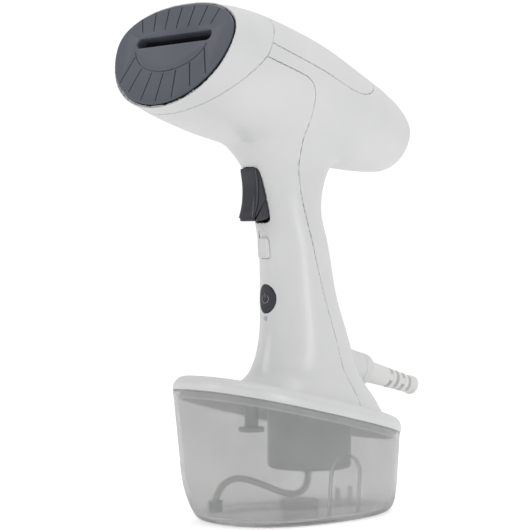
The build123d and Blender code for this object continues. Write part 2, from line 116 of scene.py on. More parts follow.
floor_material, tree, shader = new_material("studio_floor")
drift = speckle(tree, 1.5)
floor_colour = tinted(tree, drift.outputs["Fac"], (0.90, 0.90, 0.90), (0.93, 0.93, 0.93))
tree.links.new(floor_colour, shader.inputs["Base Color"])
shader.inputs["Roughness"].default_value = 0.9
shader.inputs["Emission Color"].default_value = (1, 1, 1, 1)
shader.inputs["Emission Strength"].default_value = 0.50
# seen directly the floor is white; the light that it gives back is that of a pale grey table
bounce = add_node(tree, "BsdfDiffuse", Color=(0.70, 0.70, 0.70, 1))
glow = add_node(tree, "Emission", Strength=0.30)
dull = add_node(tree, "AddShader")
tree.links.new(bounce.outputs[0], dull.inputs[0])
tree.links.new(glow.outputs[0], dull.inputs[1])
ray = add_node(tree, "LightPath")
choice = add_node(tree, "MixShader")
tree.links.new(ray.outputs["Is Camera Ray"], choice.inputs[0])
tree.links.new(dull.outputs[0], choice.inputs[1])
tree.links.new(shader.outputs[0], choice.inputs[2])
tree.links.new(choice.outputs[0], tree.nodes["Material Output"].inputs["Surface"])
floor_mesh = bpy.data.meshes.new("floor")
reach = 6.0
floor_mesh.from_pydata(
    [(-reach, -reach, 0), (reach, -reach, 0), (reach, reach, 0), (-reach, reach, 0)], [], [(0, 1, 2, 3)]
)
floor = bpy.data.objects.new("floor", floor_mesh)
floor_drop = 0.0002      # keeps the floor just clear of the tank's foot
floor.location.z = -floor_drop
floor_mesh.materials.append(floor_material)
scene.collection.objects.link(floor)

world = bpy.data.worlds.new("studio")
scene.world = world
world.use_nodes = True
surround = world.node_tree.nodes["Background"]
surround.inputs["Color"].default_value = (1, 1, 1, 1)
# The backdrop is seen as plain white. The fill light that reaches the steamer is weaker, and
# weakest from the camera's side, so that the curved sides stand out.
tree = world.node_tree
ray = add_node(tree, "LightPath")
direction = add_node(tree, "TexCoord")
facing = add_node(tree, "VectorMath", operation="DOT_PRODUCT")
facing.inputs[1].default_value = (sin(view_turn), -cos(view_turn), 0)
tree.links.new(direction.outputs["Generated"], facing.inputs[0])
fill = add_node(tree, "MapRange")
for socket, value in (("From Min", -0.5), ("From Max", 0.9), ("To Min", 0.74), ("To Max", 0.40)):
    fill.inputs[socket].default_value = value
tree.links.new(facing.outputs["Value"], fill.inputs["Value"])
backdrop = add_node(tree, "Mix", data_type="FLOAT")
backdrop.inputs["B"].default_value = 1.05
tree.links.new(ray.outputs["Is Camera Ray"], backdrop.inputs["Factor"])
tree.links.new(fill.outputs["Result"], backdrop.inputs["A"])
tree.links.new(backdrop.outputs["Result"], surround.inputs["Strength"])


def soft_box(name, place, aim, size, power):
    """A rectangular lamp that faces a point of the steamer."""
    data = bpy.data.lights.new(name, "AREA")
    data.shape = "RECTANGLE"
    data.size, data.size_y = size
    data.energy = power
    lamp = bpy.data.objects.new(name, data)
    lamp.location = place
    lamp.rotation_euler = (Vector(aim) - Vector(place)).to_track_quat("-Z", "Y").to_euler()
    scene.collection.objects.link(lamp)


soft_box("key_box", (-0.35, -1.5, 0.9), (0, 0, 0.18), (0.7, 0.9), 5.0)
soft_box("side_box", (1.5, 0.25, 0.5), (0, 0, 0.15), (0.35, 1.0), 4.5)
soft_box("top_box", (0.1, 0.1, 1.5), (0, 0, 0.2), (0.9, 0.9), 4.0)


# ---- Water tank: an injection-moulded cup of smoke-grey clear plastic, 2 mm thick, with its rim
# sloping down to the back. It has a seat ring and two pegs on its floor and an arched rib in its right side.
tank_wall = 2.0
tank_floor = 3.0
rim_height = 60.5
slope = radians(12.3)     # fall of the rim towards the back
rim_fall = tan(slope)
wall_start = 26.0         # below this the rings are level, above it they tilt with the rim
front_round, rear_round = 2.5, 2.25
# height, half width, front, rear
tank_rows = [
    (0, 39, -60, 62),
    (0.7, 40.6, -62.6, 65),
    (2, 42, -65, 67.2),
    (4, 42.9, -67, 69),
    (6, 43.5, -68.5, 70),
    (10, 44.1, -71, 71),
    (14, 44.5, -73, 71.5),
    (26, 45, -77, 72.5),
    (40, 45.4, -79, 73.8),
    (55, 45.7, -81, 75),
    (92, 46.6, -86, 78.5),
]


def smooth_rows(rows, at):
    """Values of a table's columns at the given places of its first column, on a smooth curve."""
    rows = np.array(rows, float)
    place, values = rows[:, 0], rows[:, 1:]
    slope = np.gradient(values, place, axis=0)
    at = np.clip(np.asarray(at, float), place[0], place[-1])
    cell = np.clip(np.searchsorted(place, at, side="right") - 1, 0, len(place) - 2)
    gap = place[cell + 1] - place[cell]
    u = ((at - place[cell]) / gap)[..., None]
    gap = gap[..., None]
    return (
        values[cell] * (2 * u**3 - 3 * u**2 + 1)
        + slope[cell] * gap * (u**3 - 2 * u**2 + u)
        + values[cell + 1] * (3 * u**2 - 2 * u**3)
        + slope[cell + 1] * gap * (u**3 - u**2)
    )


def squared(value, squareness):
    return np.sign(value) * np.abs(value) ** (2 / squareness)


def rounded_loop(turn, half, low, high, low_round, high_round, middle=0.0):
    """Points of a rounded outline at the angles turn: x is +-half, y runs from low to high."""
    upper = np.sin(turn) >= 0
    squareness = np.where(upper, high_round, low_round)
    x = squared(np.cos(turn), squareness) * half
    y = squared(np.sin(turn), squareness)
    return x, middle + np.where(upper, y * (high - middle), y * (middle - low))


def tank_ring(turn, share, inset):
    """Ring of the tank's wall: share 0 is its foot and 1 its rim."""
    z = np.full(len(turn), wall_start)
    for repeat in range(4):
        half, front, rear = smooth_rows(tank_rows, z).T
        x, y = rounded_loop(turn, half - inset, front + inset, rear - inset, front_round, rear_round)
        z = wall_start + share * (rim_height - rim_fall * y - wall_start)
    return np.stack([x, y, z], 1)


def low_ring(turn, height, inset, lift):
    """Level ring near the tank's floor; lift raises the inside by the floor's thickness."""
    half, front, rear = smooth_rows(tank_rows, np.full(len(turn), height)).T
    x, y = rounded_loop(turn, half - inset, front + inset, rear - inset, front_round, rear_round)
    lifted = height + lift * (1 - height / wall_start)
    return np.stack([x, y, np.full(len(turn), lifted)], 1)


def skin(name, loops, close_first=True, close_last=True, wrap=False):
    """Mesh over a row of loops with equal numbers of points, in millimetres."""
    count = len(loops[0])
    points = np.concatenate([np.asarray(loop, float) for loop in loops]) * mm
    faces = []
    rows = len(loops)
    for row in range(rows if wrap else rows - 1):
        below = row * count
        above = ((row + 1) % rows) * count
        for i in range(count):
            j = (i + 1) % count
            faces.append((below + i, below + j, above + j, above + i))
    if not wrap and close_first:
        faces.append(tuple(reversed(range(count))))
    if not wrap and close_last:
        faces.append(tuple(range((rows - 1) * count, rows * count)))
    mesh = bpy.data.meshes.new(name)
    mesh.from_pydata([tuple(p) for p in points], [], faces)
    mesh.update()
    work = bmesh.new()
    work.from_mesh(mesh)
    bmesh.ops.recalc_face_normals(work, faces=work.faces)
    work.to_mesh(mesh)
    work.free()
    made = bpy.data.objects.new(name, mesh)
    scene.collection.objects.link(made)
    return made


def shade(piece, angle=38):
    """Smooth shading that keeps edges sharper than the angle."""
    work = bmesh.new()
    work.from_mesh(piece.data)
    for face in work.faces:
        face.smooth = True
    for edge in work.edges:
        if len(edge.link_faces) == 2:
            edge.smooth = edge.calc_face_angle(0) < radians(angle)
    work.to_mesh(piece.data)
    work.free()


def fit_out(piece, material, body, slot, *replaced):
    """Gives a finished piece its material and its body, and hides the nodes that it stands for. The slot is
    not used.
    """
    piece.data.materials.clear()
    piece.data.materials.append(material)
    if replaced:
        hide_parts(*replaced)
    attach(piece, body)


clear_smoke, tree, shader = new_material("clear_smoke_plastic")
haze = speckle(tree, 45, 4)
smoke = tinted(tree, haze.outputs["Fac"], (0.80, 0.805, 0.80), (0.85, 0.855, 0.85))
tree.links.new(smoke, shader.inputs["Base Color"])
tree.links.new(between(tree, haze.outputs["Fac"], 0.07, 0.15), shader.inputs["Roughness"])
shader.inputs["Transmission Weight"].default_value = 0.80
shader.inputs["IOR"].default_value = 1.25
orange_peel = speckle(tree, 260)
bump = add_node(tree, "Bump", Strength=0.1, Distance=0.0002)
tree.links.new(orange_peel.outputs["Fac"], bump.inputs["Height"])
tree.links.new(bump.outputs["Normal"], shader.inputs["Normal"])

around = np.linspace(0, 2 * pi, 144, endpoint=False)
outer_low = [0, 0.35, 0.9, 1.6, 2.6, 4, 6, 8.5, 12, 17, 22]
outside = [low_ring(around, h, 0, 0) for h in outer_low]
outside += [tank_ring(around, share, 0) for share in np.linspace(0, 1, 12)]
within = [low_ring(around, h, tank_wall, tank_floor) for h in outer_low]
within += [tank_ring(around, share, tank_wall) for share in np.linspace(0, 1, 12)]
foot_width, foot_hollow = 9, 0.8      # the tank stands on a flat band round a shallow hollow
foot_edge = low_ring(around, 0, foot_width, 0)
foot_step = low_ring(around, 0, foot_width + 1, 0)
foot_step[:, 2] = foot_hollow
tank = skin("tank_cup", [foot_step, foot_edge] + outside + within[::-1])
shade(tank, 50)
fit_out(tank, clear_smoke, "tank", "smoky_clear", "tank")


def turned(name, profile, centre, steps=64):
    """Solid of revolution about an upright line: profile holds (radius, height) points."""
    turn = np.linspace(0, 2 * pi, steps, endpoint=False)
    loops = []
    for radius, height in profile:
        ring = [np.cos(turn) * radius + centre[0], np.sin(turn) * radius + centre[1], np.full(steps, height)]
        loops.append(np.stack(ring, 1))
    return skin(name, loops, wrap=True)


seat_profile = [(9.5, 3), (12, 3), (12, 8.4), (11.6, 8.9), (9.9, 8.9), (9.5, 8.4)]
seat_ring = turned("tank_seat_ring", seat_profile, (0, 2.5))
shade(seat_ring)
fit_out(seat_ring, clear_smoke, "tank", "smoky_clear")
peg_profile = [(0.01, 3), (1.6, 3), (1.5, 13.4), (0.9, 14.3), (0.01, 14.5)]
for number, along in enumerate((30.5, 41.5)):
    peg = turned(f"tank_peg_{number + 1}", peg_profile, (5, along), 24)
    shade(peg)
    fit_out(peg, clear_smoke, "tank", "smoky_clear")


def arch_rib(name, side):
    """Raised arched line, 1.8 mm wide, on the inside of a side wall."""
    rise = np.linspace(0, pi, 25)
    outer = [(11, 5.0)] + [(13 * cos(a) - 2, 27 + 13 * sin(a)) for a in rise] + [(-15, 5.0)]
    inner = [(9.2, 5.0)] + [(11.2 * cos(a) - 2, 27 + 11.2 * sin(a)) for a in rise] + [(-13.2, 5.0)]
    loops = []
    for depth, line in ((1.9, outer), (3.2, outer), (3.2, inner), (1.9, inner)):
        row = []
        for y, z in line:
            half, front, rear = smooth_rows(tank_rows, np.array([z]))[0]
            reach = front if y < 0 else rear
            power = front_round if y < 0 else rear_round
            width = (half - depth) * (1 - abs(y / reach) ** power) ** (1 / power)
            row.append((side * width, y, z))
        loops.append(row)
    rows = len(loops)
    count = len(outer)
    points = [Vector(p) * mm for row in loops for p in row]
    faces = []
    for row in range(rows):
        for i in range(count - 1):
            a = row * count + i
            b = ((row + 1) % rows) * count + i
            faces.append((a, a + 1, b + 1, b))
    faces.append(tuple(row * count for row in range(rows)))
    faces.append(tuple(row * count + count - 1 for row in range(rows)))
    mesh = bpy.data.meshes.new(name)
    mesh.from_pydata(points, [], faces)
    work = bmesh.new()
    work.from_mesh(mesh)
    bmesh.ops.recalc_face_normals(work, faces=work.faces)
    work.to_mesh(mesh)
    work.free()
    made = bpy.data.objects.new(name, mesh)
    scene.collection.objects.link(made)
    shade(made)
    return made


fit_out(arch_rib("tank_rib", 1), clear_smoke, "tank", "smoky_clear")


# ---- Lid: a glossy white moulding that closes the tank and carries the handle. It has an upright
# band, a fine step above it, a rounded shoulder and a lip that drops inside the tank's rim.
def moulded(name, dark, light, rough, grain, grain_depth, coat=0.0, metal=0.0):
    """Moulded or cast finish: slight drift of colour and gloss, fine grain, rubbed edges."""
    made, tree, shader = new_material(name)
    drift = speckle(tree, 22, 4)
    base = tinted(tree, drift.outputs["Fac"], dark, light)
    wear = add_node(tree, "NewGeometry")
    worn = add_node(tree, "MapRange")
    worn.inputs["From Min"].default_value = 0.52
    worn.inputs["From Max"].default_value = 0.62
    worn.inputs["To Max"].default_value = 0.35
    tree.links.new(wear.outputs["Pointiness"], worn.inputs["Value"])
    mix = add_node(tree, "Mix", data_type="RGBA")
    mix.inputs[7].default_value = (*[min(1, c * 1.12 + 0.02) for c in light], 1)
    tree.links.new(worn.outputs["Result"], mix.inputs[0])
    tree.links.new(base, mix.inputs[6])
    tree.links.new(mix.outputs[2], shader.inputs["Base Color"])
    gloss = between(tree, drift.outputs["Fac"], rough - 0.04, rough + 0.06)
    tree.links.new(gloss, shader.inputs["Roughness"])
    fine = speckle(tree, grain, 2)
    bump = add_node(tree, "Bump", Strength=0.25, Distance=grain_depth)
    tree.links.new(fine.outputs["Fac"], bump.inputs["Height"])
    tree.links.new(bump.outputs["Normal"], shader.inputs["Normal"])
    shader.inputs["Metallic"].default_value = metal
    shader.inputs["Coat Weight"].default_value = coat
    shader.inputs["Coat Roughness"].default_value = 0.08
    return made


gloss_white = moulded(
    "gloss_white_plastic", (0.72, 0.725, 0.725), (0.76, 0.76, 0.76), 0.30, 420, 0.00006, 0.15
)

rim_half, rim_front, rim_rear = 45.9, -86.1, 75.9
lid_height = 9.4


def rim_ring(turn, inset, height):
    """Ring in the tank's rim plane, drawn in by inset and raised by height."""
    ends = rim_front + inset, rim_rear - inset
    x, along = rounded_loop(turn, rim_half - inset, *ends, front_round, rear_round)
    y = along * cos(slope) + height * sin(slope)
    z = rim_height - along * sin(slope) + height * cos(slope)
    return np.stack([x, y, z], 1)


# inset from the tank's rim, height above it
lid_profile = [
    (2.4, 0.3), (0.0, 0.3), (-0.2, 0.4), (-0.3, 0.7), (-0.3, 4.3), (-0.2, 4.6), (0.15, 4.7), (0.2, 5.0),
    (0.35, 5.5), (0.8, 6.4), (1.5, 7.3), (2.5, 8.2), (3.8, 8.9), (5.2, 9.25), (7, lid_height),
    (22, lid_height), (None, lid_height), (None, 7.0), (22, 7.0), (5.8, 7.0), (5.8, -4.0), (4.2, -4.0),
    (4.2, 4.1), (2.4, 4.1),
]
well_radius, well_middle = 21, 11


def lid_ring(inset, height):
    """One ring of the lid: an inset of None is the round opening over the pump well."""
    if inset is not None:
        return rim_ring(around, inset, height)
    y = well_middle + well_radius * np.sin(around)
    along = (y - height * sin(slope)) / cos(slope)
    z = rim_height - along * sin(slope) + height * cos(slope)
    return np.stack([well_radius * np.cos(around), y, z], 1)


lid = skin("tank_lid", [lid_ring(*point) for point in lid_profile], wrap=True)
shade(lid, 30)
fit_out(lid, gloss_white, "housing", "white_gloss", "base_cover")


# ---- Suction hose: limp silicone, 4 mm thick, from the fitting under the pump well to the weighted
# filter that lies at the front of the tank's floor.
silicone = moulded("milky_silicone", (0.55, 0.55, 0.54), (0.63, 0.63, 0.62), 0.42, 700, 0.00004)
hose_route = [
    (0, 0.010, 0.025), (0, 0.0103, 0.0195), (-0.0005, 0.006, 0.0135), (-0.0015, -0.003, 0.012),
    (-0.0025, -0.014, 0.0155), (-0.004, -0.0286, 0.0217), (-0.006, -0.0414, 0.0255),
    (-0.008, -0.050, 0.0235), (-0.009, -0.0553, 0.0178), (-0.0094, -0.0565, 0.0126),
]
hose_curve = bpy.data.curves.new("suction_hose_line", "CURVE")
hose_curve.dimensions = "3D"
hose_line = hose_curve.splines.new("NURBS")
hose_line.points.add(len(hose_route) - 1)
for point, place in zip(hose_line.points, hose_route):
    point.co = (*place, 1)
hose_line.order_u = 3
hose_line.use_endpoint_u = True
hose_line.resolution_u = 12
hose_curve.bevel_depth = 0.002
hose_curve.bevel_resolution = 6
hose_curve.use_fill_caps = True
hose = bpy.data.objects.new("suction_hose_tube", hose_curve)
scene.collection.objects.link(hose)
fit_out(hose, silicone, "housing", "silicone", "suction_hose")


# ---- Housing: glossy white shells of ABS about 2 mm thick, snapped together along fine V seams:
# the collar round the steam plate, the front shell, the rear shell and the top cover of the head.
head_slope = radians(13)
head_start = np.array([0, -96.9, 275.4])
head_axis = np.array([0, cos(head_slope), -sin(head_slope)])
# distance along the axis, backward tilt, half width, height above, depth below
head_rows = [
    (-9, 20.5, 50.3, 24.3, 40.5),
    (0, 20.5, 50.3, 24.3, 40.5),
    (15, 19, 50.3, 27.3, 42.5),
    (35, 16, 47.5, 30, 44),
    (60, 13, 44, 31, 43.5),
    (95, 13, 38.5, 30, 40),
    (130, 13, 31, 25.5, 37),
    (160, 13, 24, 20.5, 32),
    (172, 13, 20.4, 17.8, 29.4),
    (182, 13, 16.5, 14.5, 26),
    (190, 13, 12.3, 10.9, 20.5),
    (196, 13, 7.6, 6.8, 13),
    (198.6, 13, 4.4, 3.9, 7.6),
    (199.6, 13, 1.6, 1.4, 2.8),
]
# height, middle, half width, front, rear, squareness of the front half
handle_rows = [
    (54, 8, 42, -66, 62, 2.4),
    (62, 8, 38.5, -60, 56, 2.4),
    (70, 8, 35, -52, 51, 2.4),
    (77, 8, 31, -43.6, 46, 2.3),
    (84, 7, 26, -33.9, 43.5, 2.1),
    (92, 6, 23, -30.2, 41, 1.9),
    (105, 4, 21, -26.6, 37, 1.8),
    (130, 1, 19, -25.6, 27, 1.8),
    (165, -3, 17.5, -27.8, 18.5, 1.8),
    (180, -5, 17, -31.4, 13.5, 1.85),
    (196, -6, 17.5, -35.8, 15, 1.95),
    (210, -9, 19, -41.5, 23, 2.15),
    (222, -12, 24, -52.5, 36, 2.3),
    (232, -14, 29, -60, 44, 2.4),
]


def head_ring(turn, distance):
    """Section of the head at a distance behind the collar's rim."""
    tilt, half, up, down = smooth_rows(head_rows, np.array([distance]))[0]
    x, lift = rounded_loop(turn, half, -down, up, 2.0, rear_round)
    rise = np.array([0, sin(radians(tilt)), cos(radians(tilt))])
    return head_start + distance * head_axis + lift[:, None] * rise + x[:, None] * np.array([1.0, 0, 0])


def handle_ring(turn, height):
    """Level section of the handle."""
    middle, half, front, rear, squareness = smooth_rows(handle_rows, np.array([height]))[0]
    x, y = rounded_loop(turn, half, front, rear, squareness, 2.4, middle)
    return np.stack([x, y, np.full(len(turn), height)], 1)


stations = np.concatenate([np.linspace(-9, 150, 90), 150 + 49.6 * np.sin(np.linspace(0.02, pi / 2, 46))])
fine_turn = np.linspace(0, 2 * pi, 180, endpoint=False)
head_part = skin("head_form", [head_ring(fine_turn, s) for s in stations])
handle_part = skin("handle_form", [handle_ring(fine_turn, z) for z in np.linspace(56, 231, 130)])


def joined(name, *parts):
    """One mesh object made of several, which are removed."""
    work = bmesh.new()
    for part in parts:
        work.from_mesh(part.data)
    mesh = bpy.data.meshes.new(name)
    work.to_mesh(mesh)
    work.free()
    for part in parts:
        bpy.data.objects.remove(part)
    made = bpy.data.objects.new(name, mesh)
    scene.collection.objects.link(made)
    return made


def apply_all(piece):
    """Bakes a piece's modifiers into its mesh."""
    bpy.context.view_layer.update()
    state = bpy.context.evaluated_depsgraph_get()
    mesh = bpy.data.meshes.new_from_object(piece.evaluated_get(state))
    piece.modifiers.clear()
    piece.data = mesh


guide = joined("housing_guide", head_part, handle_part)
form = bpy.data.objects.new("housing_form", guide.data.copy())
scene.collection.objects.link(form)
fuse = form.modifiers.new("fuse", "REMESH")
fuse.mode = "VOXEL"
fuse_grid = 1.15
fuse.voxel_size = fuse_grid * mm
apply_all(form)


neck_spread = 9.0        # width of the blend between head and handle, on each of them
neck_low = 190


def section_gap(points):
    """Rough distance of each point from the head's and from the handle's surface, in mm."""
    along = (points - head_start) @ head_axis
    tilt, half, up, down = smooth_rows(head_rows, along).T
    rise = (points - head_start) @ np.array([0, sin(head_slope), cos(head_slope)])
    reach = np.where(rise > 0, up, down)
    head_gap = (np.hypot(points[:, 0] / half, rise / reach) - 1) * np.minimum(half, reach)
    middle, half, front, rear, _ = smooth_rows(handle_rows, points[:, 2]).T
    offset = points[:, 1] - middle
    reach = np.where(offset > 0, rear - middle, middle - front)
    handle_gap = (np.hypot(points[:, 0] / half, offset / reach) - 1) * np.minimum(half, reach)
    return np.abs(head_gap), np.abs(handle_gap)


places = np.empty(len(form.data.vertices) * 3)
form.data.vertices.foreach_get("co", places)
places = places.reshape(-1, 3) / mm
head_gap, handle_gap = section_gap(places)
near_joint = np.clip(1.35 - np.maximum(head_gap, handle_gap) / neck_spread, 0, 1)
near_joint[places[:, 2] < neck_low] = 0
joint_group = form.vertex_groups.new(name="neck")
rest_group = form.vertex_groups.new(name="rest")
for index, weight in enumerate(near_joint):
    if weight > 0.001:
        joint_group.add([index], float(weight), "REPLACE")
    if weight < 0.999:
        rest_group.add([index], float(1 - weight), "REPLACE")
cling = form.modifiers.new("cling", "SHRINKWRAP")
cling.target = guide
cling.wrap_method = "NEAREST_SURFACEPOINT"
cling.vertex_group = "rest"
melt = form.modifiers.new("melt", "SMOOTH")
melt.factor = 0.5
melt.iterations = 70
melt.vertex_group = "neck"
apply_all(form)
bpy.data.objects.remove(guide)


def eased(points, steps=5):
    """Smooth line through points, as (y, z)."""
    points = [points[0]] + list(points) + [points[-1]]
    line = []
    for a, b, c, d in zip(points, points[1:], points[2:], points[3:]):
        for k in range(steps):
            u = k / steps
            line.append(tuple(
                0.5 * (2 * q + (r - p) * u + (2 * p - 5 * q + 4 * r - s) * u**2
                       + (3 * q - p - 3 * r + s) * u**3)
                for p, q, r, s in zip(a, b, c, d)
            ))
    line.append(tuple(points[-1]))
    return line


def shifted(line, distance):
    """The line moved sideways by a distance."""
    moved = []
    for i, point in enumerate(line):
        before = Vector(line[max(i - 1, 0)])
        after = Vector(line[min(i + 1, len(line) - 1)])
        way = (after - before).normalized()
        moved.append((point[0] - way.y * distance, point[1] + way.x * distance))
    return moved


def cut_along(work, line, wanted=None, axes=(1, 2)):
    """Cuts the mesh along a line that is swept straight through it, leaving edges there."""
    first, second = axes
    low, high = np.min(line, 0) * mm - 0.002, np.max(line, 0) * mm + 0.002
    pool = []
    for face in work.faces:
        centre = face.calc_center_median()
        if low[0] < centre[first] < high[0] and low[1] < centre[second] < high[1]:
            if wanted is None or wanted(centre):
                pool.append(face)
    for start, end in zip(line, line[1:]):
        a, b = np.array(start) * mm, np.array(end) * mm
        length = np.hypot(*(b - a))
        way = (b - a) / length
        pool = [face for face in pool if face.is_valid]
        centres = np.array([face.calc_center_median() for face in pool])[:, [first, second]] - a
        along = centres @ way
        aside = centres[:, 0] * way[1] - centres[:, 1] * way[0]
        close = (np.abs(aside) < 2 * mm) & (along > -1.6 * mm) & (along < length + 1.6 * mm)
        near = [pool[index] for index in np.nonzero(close)[0]]
        if not near:
            continue
        spot, normal = Vector((0, 0, 0)), Vector((0, 0, 0))
        spot[first], spot[second] = a
        normal[first], normal[second] = -way[1], way[0]
        geometry = list({part for face in near for part in (*face.verts, *face.edges)}) + near
        cut = bmesh.ops.bisect_plane(work, geom=geometry, plane_co=spot, plane_no=normal, dist=1e-6)
        known = set(near)
        pool += [part for part in cut["geom"] if isinstance(part, bmesh.types.BMFace) and part not in known]


collar_seam = eased([(-103.8, 233.5), (-88, 249.5), (-70.5, 265.8), (-66, 274), (-57, 287), (-51, 300)])
side_seam = eased([
    (-70.5, 265.8), (-42, 259.7), (-32, 257), (-26.5, 253), (-23.5, 246.5), (-22.5, 238), (-20.5, 231),
    (-18, 222), (-15.5, 208), (-12.8, 194), (-4, 165), (4.6, 133.4), (13, 108), (16, 93), (18, 70), (18, 52),
])
top_seam = eased([(-66, 274), (-42, 268.3), (-16, 262), (8, 254.8), (26, 252), (40, 256), (52, 270)])
collar_area = collar_seam + [(-51, 340), (-160, 340), (-160, 233.5)]
low_area = [(-160, 40), (-160, 265.8)] + side_seam
high_area = top_seam + [(52, 340), (-120, 340), (-120, 274)]
seam_half_width = 0.55
seam_depth = 0.5
seam_gap = 0.14          # each side of a seam stands back by this


def inside(point, outline):
    """Whether a point lies within a closed outline."""
    y, z = point
    found = False
    for (y1, z1), (y2, z2) in zip(outline, outline[1:] + outline[:1]):
        if (z1 > z) != (z2 > z) and y < (y2 - y1) * (z - z1) / (z2 - z1) + y1:
            found = not found
    return found


body_mesh = bmesh.new()
body_mesh.from_mesh(form.data)
bpy.data.objects.remove(form)
for line in (collar_seam, side_seam, top_seam):
    for distance in (0, seam_half_width, -seam_half_width):
        cut_along(body_mesh, shifted(line, distance))


def slice_across(spot, normal, **gone):
    """Cuts the whole form in a plane; clear_outer or clear_inner drops one side."""
    everything = body_mesh.verts[:] + body_mesh.edges[:] + body_mesh.faces[:]
    bmesh.ops.bisect_plane(body_mesh, geom=everything, plane_co=spot, plane_no=normal, dist=1e-6, **gone)


# the collar's open front lies in the plane behind the steam plate's face
lean = radians(20.5)
face_normal = Vector((0, -cos(lean), sin(lean)))
rim_plane = Vector(head_start) * mm
edge_strip = 0.5 * mm
slice_across(rim_plane - face_normal * edge_strip, face_normal)
slice_across(rim_plane, face_normal, clear_outer=True)
# the foot stands on the lid's flat top
lid_up = Vector((0, sin(slope), cos(slope)))
lid_top = Vector((0, 0, rim_height * mm)) + lid_up * lid_height * mm
slice_across(lid_top + lid_up * edge_strip, lid_up)
slice_across(lid_top, lid_up, clear_inner=True)


def oval(centre, half, high, grow=0.0, steps=48):
    """Outline of an oval hole."""
    turn = [2 * pi * k / steps for k in range(steps)]
    return [(centre[0] + (half + grow) * cos(a), centre[1] + (high + grow) * sin(a)) for a in turn]


def rounded_box(half, low, high, radius, grow=0.0):
    """Outline of a hole with round corners."""
    corners = [(half, high, 0), (-half, high, 90), (-half, low, 180), (half, low, 270)]
    line = []
    for x, z, first in corners:
        x_middle = x - radius if x > 0 else x + radius
        z_middle = z - radius if z == high else z + radius
        for k in range(7):
            a = radians(first + 15 * k)
            line.append((x_middle + (radius + grow) * cos(a), z_middle + (radius + grow) * sin(a)))
    return line


trigger_hole = (6.6, 174.7, 207.0, 2.8)
slider_hole = (3.9, 153.7, 169.9, 1.3)
front_holes = [
    lambda grow: rounded_box(*trigger_hole, grow=grow),
    lambda grow: rounded_box(*slider_hole, grow=grow),
    lambda grow: oval((0, 130), 6.85, 8.65, grow),
    lambda grow: oval((0, 118.5), 1.2, 1.2, grow, 20),
]


def faces_fingers(centre):
    """Whether a face is on the handle's front."""
    return centre.y < -0.014 and centre.z < 0.215


for hole in front_holes:
    for grow in (0, edge_strip / mm):
        loop = hole(grow)
        cut_along(body_mesh, loop + loop[:1], faces_fingers, (0, 2))
    outline = hole(0)
    gone = []
    for face in body_mesh.faces:
        centre = face.calc_center_median()
        if faces_fingers(centre) and inside((centre.x / mm, centre.z / mm), outline):
            gone.append(face)
    bmesh.ops.delete(body_mesh, geom=gone, context="FACES")

regions = {"front_collar": [], "front_shell": [], "rear_shell": [], "top_cover": []}
for face in body_mesh.faces:
    centre = face.calc_center_median() / mm
    spot = (centre.y, centre.z)
    if inside(spot, collar_area):
        regions["front_collar"].append(face.index)
    elif inside(spot, low_area):
        regions["front_shell"].append(face.index)
    elif inside(spot, high_area):
        regions["top_cover"].append(face.index)
    else:
        regions["rear_shell"].append(face.index)
whole = bpy.data.meshes.new("housing_whole")
body_mesh.to_mesh(whole)
body_mesh.free()

shell_wall = 1.7
shell_names = {
    "front_collar": "collar_moulding", "front_shell": "front_half_moulding",
    "rear_shell": "rear_half_moulding", "top_cover": "top_cover_moulding",
}
for node, name in shell_names.items():
    work = bmesh.new()
    work.from_mesh(whole)
    work.faces.ensure_lookup_table()
    kept = set(regions[node])
    bmesh.ops.delete(work, geom=[f for f in work.faces if f.index not in kept], context="FACES")
    bmesh.ops.remove_doubles(work, verts=work.verts, dist=0.02 * mm)
    bmesh.ops.dissolve_degenerate(work, edges=work.edges, dist=0.01 * mm)
    work.normal_update()
    edge_verts = {vert for edge in work.edges if edge.is_boundary for vert in edge.verts}
    drawn_in = {}
    for vert in edge_verts:
        back = Vector((0, 0, 0))
        for edge in vert.link_edges:
            other = edge.other_vert(vert)
            if other not in edge_verts:
                back += (other.co - vert.co).normalized()
        drawn_in[vert] = back.normalized() * seam_gap * mm - vert.normal * seam_depth * mm
    for vert, way in drawn_in.items():
        vert.co += way
    for face in work.faces:
        face.smooth = True
    mesh = bpy.data.meshes.new(name)
    work.to_mesh(mesh)
    work.free()
    shell = bpy.data.objects.new(name, mesh)
    scene.collection.objects.link(shell)
    wall = shell.modifiers.new("wall", "SOLIDIFY")
    wall.thickness = shell_wall * mm
    wall.offset = -1
    apply_all(shell)
    shade(shell, 30)
    fit_out(shell, gloss_white, "housing", "white_gloss", node)
bpy.data.meshes.remove(whole)


# ---- Steam plate: a cast plate with a dark ceramic coating and a rounded rim, pressed into the collar.
# Fine grooves fan out above and below the steam slot, and an arched line frames the lower ones.
ceramic = moulded("ceramic_coating", (0.076, 0.083, 0.106), (0.100, 0.109, 0.136), 0.34, 900, 0.00006)
face_centre = np.array([0, -97.6, 277.8])
face_up = np.array([0, sin(lean), cos(lean)])
face_out = np.array([0, -cos(lean), sin(lean)])
plate_half, plate_top, plate_bottom, plate_middle = 48.8, 20.7, -40.5, -2.0
# inset from the outline, height above the face
plate_profile = [
    (1.9, -6), (1.9, -1.6), (0.3, -1.6), (0.1, -1.4), (0, -1.1), (0, -0.75), (0.06, -0.5), (0.2, -0.27),
    (0.42, -0.1), (0.7, -0.02), (1.0, 0),
]


def on_face(x, y, height):
    """Places on the steam plate: x across, y up the face, height out of it."""
    x, y = np.broadcast_arrays(x, y)
    return face_centre + y[..., None] * face_up + height * face_out + x[..., None] * np.array([1.0, 0, 0])


def plate_ring(turn, inset, height):
    ends = plate_bottom + inset, plate_top - inset
    return on_face(*rounded_loop(turn, plate_half - inset, *ends, 1.95, 2.2, plate_middle), height)


plate = skin("steam_plate_casting", [plate_ring(fine_turn, *point) for point in plate_profile])


